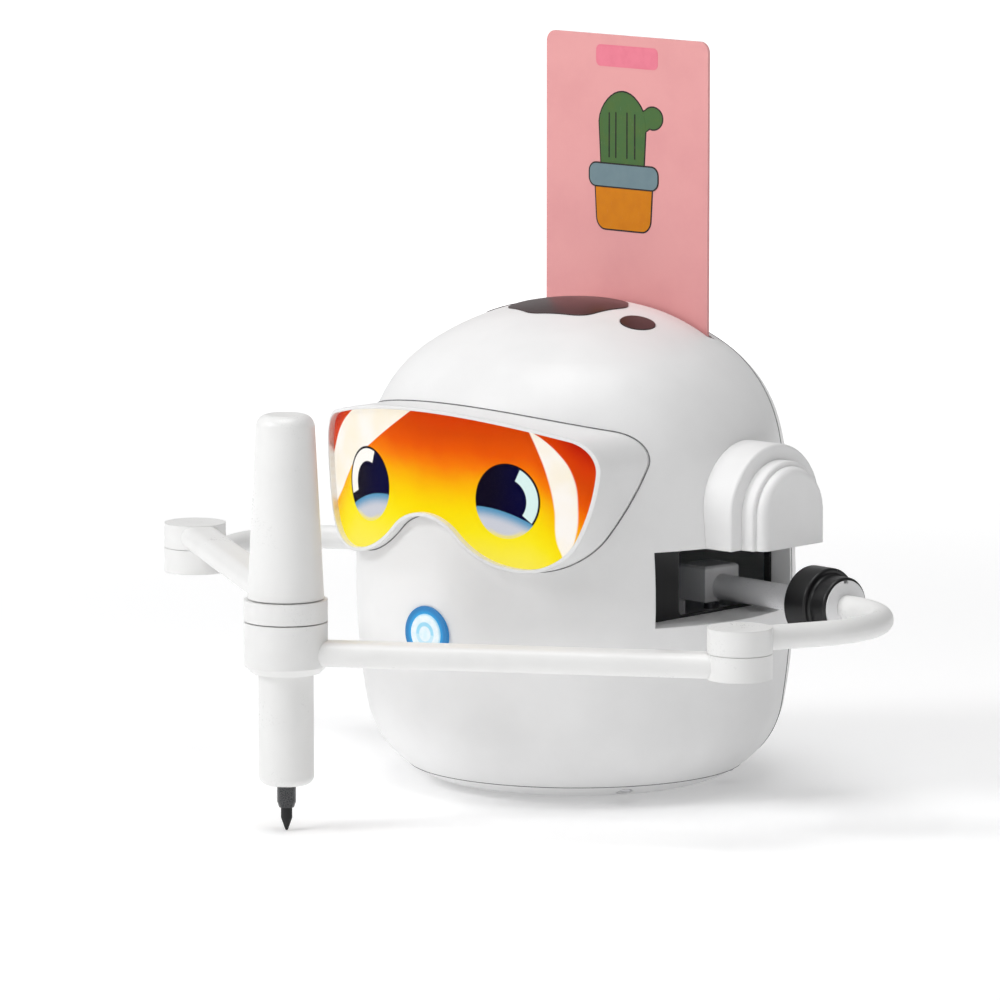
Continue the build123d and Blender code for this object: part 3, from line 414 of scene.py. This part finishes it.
def ink(name, colour, second):
    """Printed ink on the card: slightly uneven, with the paper's fibre in it."""
    g = Graph(name)
    fibre = g.noise(2200.0, 4.0, 0.65, g.stretched(1.0, 1.0, 0.35))
    blotch = g.step(g.noise(300.0, 3.0), 0.35, 0.7)
    body = g.mix(blotch, linear(colour), linear(second))
    body = g.mix(g.step(fibre, 0.6, 0.75) * 0.05, body, linear("f4e6e0"))
    return g.finish(g.principled(Base_Color=body, Roughness=g.step(fibre, 0.3, 0.7, 0.5, 0.62),
                                 Normal=g.bump(fibre, 0.008 * MM), Specular_IOR_Level=0.2))


def painted_seam_shade():
    """Dark grey painted shade standing for the shadowed gap between two mouldings, with a little dust in
    it.
    """
    g = Graph("seam_gap")
    dust = g.noise(900.0, 3.0)
    colour = g.mix(g.step(dust, 0.4, 0.7), linear("6a6a6c"), linear("8b8b8c"))
    return g.finish(g.principled(Base_Color=colour, Roughness=g.step(dust, 0.3, 0.7, 0.7, 0.9),
                                 Normal=g.bump(dust, 0.01 * MM)))


def floor_paper():
    g = Graph("floor")
    fibre = g.noise(700.0, 4.0, 0.6)
    colour = g.mix(g.step(fibre, 0.3, 0.7), linear("f9f9f9"), linear("f5f5f6"))
    reach = g.math("SQRT", g.x * g.x + g.y * g.y)
    return g.finish(g.principled(Base_Color=colour, Roughness=0.75, Specular_IOR_Level=0.2,
                                 Normal=g.bump(fibre, 0.01 * MM), Emission_Color=(1.0, 1.0, 1.0, 1.0),
                                 Emission_Strength=g.step(reach, 0.25, 1.1, 0.20, 0.74)))


materials = {
    "white_shell": white_plastic("white_shell", "eeeeee", 0.40),
    "white_arm": white_plastic("white_arm", "ededec", 0.36),
    "grey_plastic": moulded("grey_plastic", linear("ebebec"), 0.42, grain=0.5, edge=0.3),
    "grey_rod": moulded("grey_rod", linear("e4e4e6"), 0.34, grain=0.2, grain_size=0.3, edge=0.3, coat=0.2),
    "black_trim": moulded("black_trim", linear("0e0e10"), 0.36, grain=0.6, grain_size=0.4, edge=0.4,
                          wear=0.6, smudge=0.6),
    "gloss_black": polished("gloss_black", linear("2a1214"), 0.3, linear("34181a")),
    "visor": visor(),
    "face_print": face_print(),
    "light_ring": glow_ring(),
    "button_white": button_face(),
    "rubber_pad": rubber(),
    "steel_screws": metal("steel_screws", linear("c9c9cc")),
    "circuit_board": circuit(),
    "battery_wrap": moulded("battery_wrap", linear("2c5a96"), 0.22, grain=0.15, grain_size=1.5, coat=0.5),
    "motor_can": metal("motor_can", linear("b9babd"), 0.3, (0.05, 0.05, 1.0)),
    "brass_gear": metal("brass_gear", linear("d9b25c"), 0.25, (1.0, 1.0, 0.1)),
    "card_stock": card_face(),
    "marker_barrel": moulded("marker_barrel", linear("2a2b2e"), 0.28, grain=0.2, grain_size=0.3, coat=0.3),
    "marker_ink": moulded("marker_ink", linear("141416"), 0.62, grain=1.2, grain_size=0.25, edge=0.1),
    "seam_gap": painted_seam_shade(),
}
for node in nodes.values():
    slot_name = "white_arm" if node.name.endswith("elbow_pin") else node.data.materials[0].name
    node.data.materials.clear()
    node.data.materials.append(materials[slot_name])


# ---------------------------------------------------------------- body outline, as the CAD has it
BODY_ARCS = [(26.3, -90.0, -9.8), (197.0, -9.8, 11.6), (36.3, 11.6, 55.6), (71.5, 55.6, 90.0)]
BODY_LIFT, REAR_SEAM_Y, BASE_SEAM_Z = 0.5, 29.0, 5.0
REAR_SEAM_END = 0.4  # radius past the seam's plane where the outline's own points stop


def body_outline():
    """Half outline of the body as (radius, height) in mm, from the flat bottom to the crown."""
    crown = sum(r * (sin(radians(b)) - sin(radians(a))) for r, a, b in BODY_ARCS)
    point = (sum(r * (cos(radians(a)) - cos(radians(b))) for r, a, b in BODY_ARCS), BODY_LIFT)
    points = [point]
    for r, a, b in BODY_ARCS:
        steps = max(4, int((b - a) / 1.5))
        start = point
        for k in range(1, steps + 1):
            t = radians(a + (b - a) * k / steps)
            point = (start[0] + r * (cos(t) - cos(radians(a))), start[1] + r * (sin(t) - sin(radians(a))))
            points.append(point)
    assert abs(points[-1][1] - BODY_LIFT - crown) < 1e-6
    return points


OUTLINE = body_outline()


def body_radius(height):
    """Radius of the body at a height, in mm."""
    for (r0, z0), (r1, z1) in zip(OUTLINE, OUTLINE[1:]):
        if z0 <= height <= z1:
            return r0 + (r1 - r0) * (height - z0) / max(z1 - z0, 1e-9)
    return 0.0


def crown_height(radius):
    """Height of the crown where the body has a radius, in mm."""
    for (r0, z0), (r1, z1) in zip(OUTLINE, OUTLINE[1:]):
        if r1 <= radius <= r0:
            return z0 + (z1 - z0) * (r0 - radius) / (r0 - r1)
    return 0.0


LENS_TOP, GOGGLE_RIM, NOSE_TURN = 106.0, 1.0, 45.0
SEAM_OUT = 0.12  # the goggle seam's distance outside the frame
LENS_ARCS = [(169.0, 14.4), (8.2, 80.6), (57.0, 18.0), (14.0, 67.0), (28.0, 45.0)]


def lens_outline(grow):
    """Right half of the goggle outline, offset outward by grow, as (x, z) in mm."""
    x, z, heading = 0.0, LENS_TOP, 0.0
    points = []
    for index in range(len(LENS_ARCS) + 1):
        if index < len(LENS_ARCS):
            radius, turn = LENS_ARCS[index]
            sign = -1
        else:
            radius, turn, sign = x / sin(radians(NOSE_TURN)), NOSE_TURN, 1
        centre = (x - sign * radius * sin(heading), z + sign * radius * cos(heading))
        wide = radius - sign * grow
        steps = max(4, int(wide * radians(turn)))
        for k in range(steps + 1):
            h = heading + sign * radians(turn) * k / steps
            points.append((centre[0] + sign * wide * sin(h), centre[1] - sign * wide * cos(h)))
        heading += sign * radians(turn)
        x, z = centre[0] + sign * radius * sin(heading), centre[1] - sign * radius * cos(heading)
    return points


# ---------------------------------------------------------------- mesh pieces
def link(obj):
    scene.collection.objects.link(obj)
    return obj


def smooth(mesh):
    for face in mesh.polygons:
        face.use_smooth = True


def piece(name, mesh, material, body):
    """A finished mesh as a piece that rides on a CAD body."""
    mesh.materials.append(material)
    obj = link(bpy.data.objects.new(name, mesh))
    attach(obj, body)
    return obj


def tube(name, runs, radius, material, body):
    """Thin round bead along closed or open runs of points in mm."""
    sides = 8
    bm = bmesh.new()
    for points, closed in runs:
        path = [Vector(p) * MM for p in points]
        count = len(path)
        rings = []
        for i, p in enumerate(path):
            ahead = path[(i + 1) % count] if closed or i + 1 < count else p
            behind = path[i - 1] if closed or i else p
            along = (ahead - behind).normalized()
            side = along.orthogonal() if not rings else last_side
            side = (side - along * side.dot(along)).normalized()
            last_side = side
            up = along.cross(side)
            turns = [2 * pi * k / sides for k in range(sides)]
            rings.append([bm.verts.new(p + (side * cos(t) + up * sin(t)) * radius * MM) for t in turns])
        for a, b in zip(rings, rings[1:]):
            for k in range(sides):
                bm.faces.new((a[k], a[(k + 1) % sides], b[(k + 1) % sides], b[k]))
        if closed:
            first, last = rings[0], rings[-1]
            shift = min(range(sides), key=lambda s: (first[s].co - last[0].co).length)
            for k in range(sides):
                bm.faces.new((last[k], last[(k + 1) % sides],
                              first[(k + 1 + shift) % sides], first[(k + shift) % sides]))
        else:
            bm.faces.new(rings[0][::-1])
            bm.faces.new(rings[-1])
    bmesh.ops.recalc_face_normals(bm, faces=bm.faces)
    mesh = bpy.data.meshes.new(name)
    bm.to_mesh(mesh)
    bm.free()
    smooth(mesh)
    return piece(name, mesh, material, body)


def plate(name, outlines, front, thickness, material, body):
    """Thin flat shapes standing out of a plane that faces -Y, each an outline of (x, z) in mm."""
    bm = bmesh.new()
    for outline in outlines:
        front_loop = [bm.verts.new((x * MM, (front - thickness) * MM, z * MM)) for x, z in outline]
        back_loop = [bm.verts.new((x * MM, front * MM, z * MM)) for x, z in outline]
        count = len(outline)
        bm.faces.new(front_loop)
        bm.faces.new(back_loop[::-1])
        for k in range(count):
            after = (k + 1) % count
            bm.faces.new((front_loop[k], back_loop[k], back_loop[after], front_loop[after]))
    bmesh.ops.recalc_face_normals(bm, faces=bm.faces)
    mesh = bpy.data.meshes.new(name)
    bm.to_mesh(mesh)
    bm.free()
    return piece(name, mesh, material, body)


def rounded_box(x0, x1, z0, z1, radii, steps=8):
    """Corners of a box with its own rounding at each corner: low left, low right, high right, high left."""
    points = []
    corners = ((x0, z0, 180), (x1, z0, 270), (x1, z1, 0), (x0, z1, 90))
    for (x, z, start), r in zip(corners, radii):
        cx = x + r if x == x0 else x - r
        cz = z + r if z == z0 else z - r
        for k in range(steps + 1):
            a = radians(start + 90 * k / steps)
            points.append((cx + r * cos(a), cz + r * sin(a)))
    return points


# Seams: dark beads of painted shade along the rear shell, the base plate, and the goggle frame's foot on
# the body
seam = []
for radius, height in OUTLINE:
    if radius > REAR_SEAM_Y + REAR_SEAM_END and height > BASE_SEAM_Z:
        seam.append((sqrt(radius ** 2 - REAR_SEAM_Y ** 2), REAR_SEAM_Y, height))
seam += [(x, REAR_SEAM_Y, crown_height(sqrt(REAR_SEAM_Y ** 2 + x * x)))
         for x in (4.0, 3.0, 2.0, 1.0, 0.0)]
seam = seam + [(-x, y, z) for x, y, z in reversed(seam[:-1])]
tube("rear_seam", [(seam, False)], 0.16, materials["seam_gap"], "housing")

base_radius = body_radius(BASE_SEAM_Z)
ring = [(base_radius * cos(radians(a)), base_radius * sin(radians(a)), BASE_SEAM_Z)
        for a in range(0, 360, 3)]
tube("base_seam", [(ring, True)], 0.14, materials["seam_gap"], "housing")

half = [p for p in lens_outline(GOGGLE_RIM + SEAM_OUT) if body_radius(p[1]) > abs(p[0])]
foot = [(x, -sqrt(body_radius(z) ** 2 - x * x), z) for x, z in half]
foot = foot + [(-x, y, z) for x, y, z in reversed(foot)]
spaced = [p for p, q in zip(foot, foot[1:] + foot[:1]) if (Vector(p) - Vector(q)).length > 0.3]
tube("goggle_seam", [(spaced, True)], 0.17, materials["seam_gap"], "housing")

# Card picture: a blank label and a potted cactus, in mm from the card's middle and top edge
card_low, card_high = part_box("drawing_card")
card_front = card_low.y / MM
card_top = card_high.z / MM
OUTLINE_WIDTH = 0.42
COLUMN_MIDDLE, COLUMN_BELLY, COLUMN_TAPER = -1.3, 27.0, 0.035
POT_MIDDLE, POT_TOP, POT_TAPER = -0.9, 41.0, 0.006
BUD_MIDDLE, BUD_HALF_WIDTH, BUD_HALF_HEIGHT = (9.4, 21.8), 3.4, 2.9


def on_card(points):
    """Points given from the card's top edge down, as heights in the frame."""
    return [(x, card_top - down) for x, down in points]


def grown(outline, by):
    """An outline moved outward by a distance."""
    count = len(outline)
    area = sum(outline[i - 1][0] * outline[i][1] - outline[i][0] * outline[i - 1][1] for i in range(count))
    sign = 1 if area > 0 else -1
    out = []
    for i in range(count):
        a, b = Vector(outline[i - 1]), Vector(outline[(i + 1) % count])
        d = (b - a).normalized()
        out.append((outline[i][0] + sign * d.y * by, outline[i][1] - sign * d.x * by))
    return out


body_column = on_card([
    (x - COLUMN_TAPER * (x - COLUMN_MIDDLE) * (d - COLUMN_BELLY) ** 2 / COLUMN_BELLY, d)
    for x, d in rounded_box(-9.8, 7.0, 15.4, 36.5, (8.2, 8.2, 0.6, 0.6))
])
bud_x, bud_down = BUD_MIDDLE
arm_bud = [(bud_x + BUD_HALF_WIDTH * cos(radians(t)), bud_down - BUD_HALF_HEIGHT * sin(radians(t)))
           for t in range(-110, 141, 10)]
arm = on_card(arm_bud + [(5.0, 20.6), (5.0, 27.0)])
rim_box = on_card(rounded_box(-13.1, 11.2, 35.2, 41.2, (2.2, 2.2, 2.2, 2.2)))
pot_box = on_card([(POT_MIDDLE + (x - POT_MIDDLE) * (1.0 - POT_TAPER * (d - POT_TOP)), d)
                   for x, d in rounded_box(-11.0, 9.2, POT_TOP, 52.8, (0.6, 0.6, 3.0, 3.0))])
label_box = on_card(rounded_box(-11.0, 11.2, 2.8, 8.7, (1.6, 1.6, 1.6, 1.6)))

black_ink = ink("ink_black", "23201f", "2e2a28")
green_ink = ink("ink_green", "46693a", "4c6a36")
layers = [
    ("card_arm_edge", [grown(arm, OUTLINE_WIDTH)], 0.02, black_ink),
    ("card_arm", [arm], 0.05, green_ink),
    ("card_cactus_edge", [grown(body_column, OUTLINE_WIDTH)], 0.035, black_ink),
    ("card_cactus", [body_column], 0.07, green_ink),
    ("card_pot_edge", [grown(pot_box, OUTLINE_WIDTH)], 0.09, black_ink),
    ("card_pot", [pot_box], 0.11, ink("ink_orange", "cf7c00", "ca7600")),
    ("card_rim_edge", [grown(rim_box, OUTLINE_WIDTH)], 0.13, black_ink),
    ("card_rim", [rim_box], 0.15, ink("ink_grey", "71878e", "6d838b")),
    ("card_label", [label_box], 0.06, ink("ink_pink", "e67f92", "e27a8d")),
    ("card_ribs", [on_card(rounded_box(x, x + 0.45, 20.6 + abs(x + 1.4) * 0.1, 33.4, (0.22,) * 4))
                   for x in (-6.4, -4.0, 0.0, 2.8)], 0.10, black_ink),
]
for name, outlines, lift, material in layers:
    plate(name, outlines, card_front, lift, material, "card")


# ---------------------------------------------------------------- floor, light, camera
FLOOR_RADIUS = 6.0


def make_floor():
    """Wide flat disc that the robot stands on."""
    bm = bmesh.new()
    rim = [bm.verts.new((FLOOR_RADIUS * cos(radians(a)), FLOOR_RADIUS * sin(radians(a)), 0.0))
           for a in range(0, 360, 10)]
    bm.faces.new(rim)
    mesh = bpy.data.meshes.new("floor")
    bm.to_mesh(mesh)
    bm.free()
    mesh.materials.append(floor_paper())
    link(bpy.data.objects.new("floor", mesh))


def lamp(name, place, aim, size, power):
    """Soft rectangular studio lamp."""
    data = bpy.data.lights.new(name, "AREA")
    data.shape = "RECTANGLE"
    data.size, data.size_y = size
    data.energy = power
    obj = link(bpy.data.objects.new(name, data))
    obj.location = place
    obj.rotation_euler = (Vector(aim) - Vector(place)).to_track_quat("-Z", "Y").to_euler()


def make_world():
    """White studio, dimmer on the robot's left so that side of the body shades off."""
    world = bpy.data.worlds.new("studio")
    world.use_nodes = True
    tree = world.node_tree
    tree.nodes.clear()
    coords = tree.nodes.new("ShaderNodeTexCoord")
    dot = tree.nodes.new("ShaderNodeVectorMath")
    dot.operation = "DOT_PRODUCT"
    dot.inputs[1].default_value = (0.80, 0.60, 0.0)
    level = tree.nodes.new("ShaderNodeMapRange")
    level.interpolation_type = "SMOOTHSTEP"
    for key, value in (("From Min", 0.1), ("From Max", 0.9), ("To Min", 0.60), ("To Max", 0.13)):
        level.inputs[key].default_value = value
    back = tree.nodes.new("ShaderNodeBackground")
    out = tree.nodes.new("ShaderNodeOutputWorld")
    tree.links.new(coords.outputs["Generated"], dot.inputs[0])
    tree.links.new(dot.outputs["Value"], level.inputs["Value"])
    tree.links.new(level.outputs["Result"], back.inputs["Strength"])
    tree.links.new(back.outputs[0], out.inputs["Surface"])
    scene.world = world


make_floor()
make_world()
lamp("key", (-0.55, -1.25, 1.05), (0.0, 0.0, 0.06), (0.5, 0.5), 8.0)
lamp("top", (0.1, -0.2, 1.5), (0.0, 0.0, 0.1), (0.9, 0.9), 9.0)

camera_data = bpy.data.cameras.new("camera")
camera_data.lens = 301.0
camera_data.sensor_width = 36.0
camera_data.clip_start, camera_data.clip_end = 0.05, 50.0
camera = link(bpy.data.objects.new("camera", camera_data))
camera.location = (1.4856, -1.6714, 0.4035)
target = Vector((-0.01521, -0.01377, 0.07579))
camera.rotation_euler = (target - camera.location).to_track_quat("-Z", "Y").to_euler()
scene.camera = camera
scene.view_settings.view_transform = "Standard"
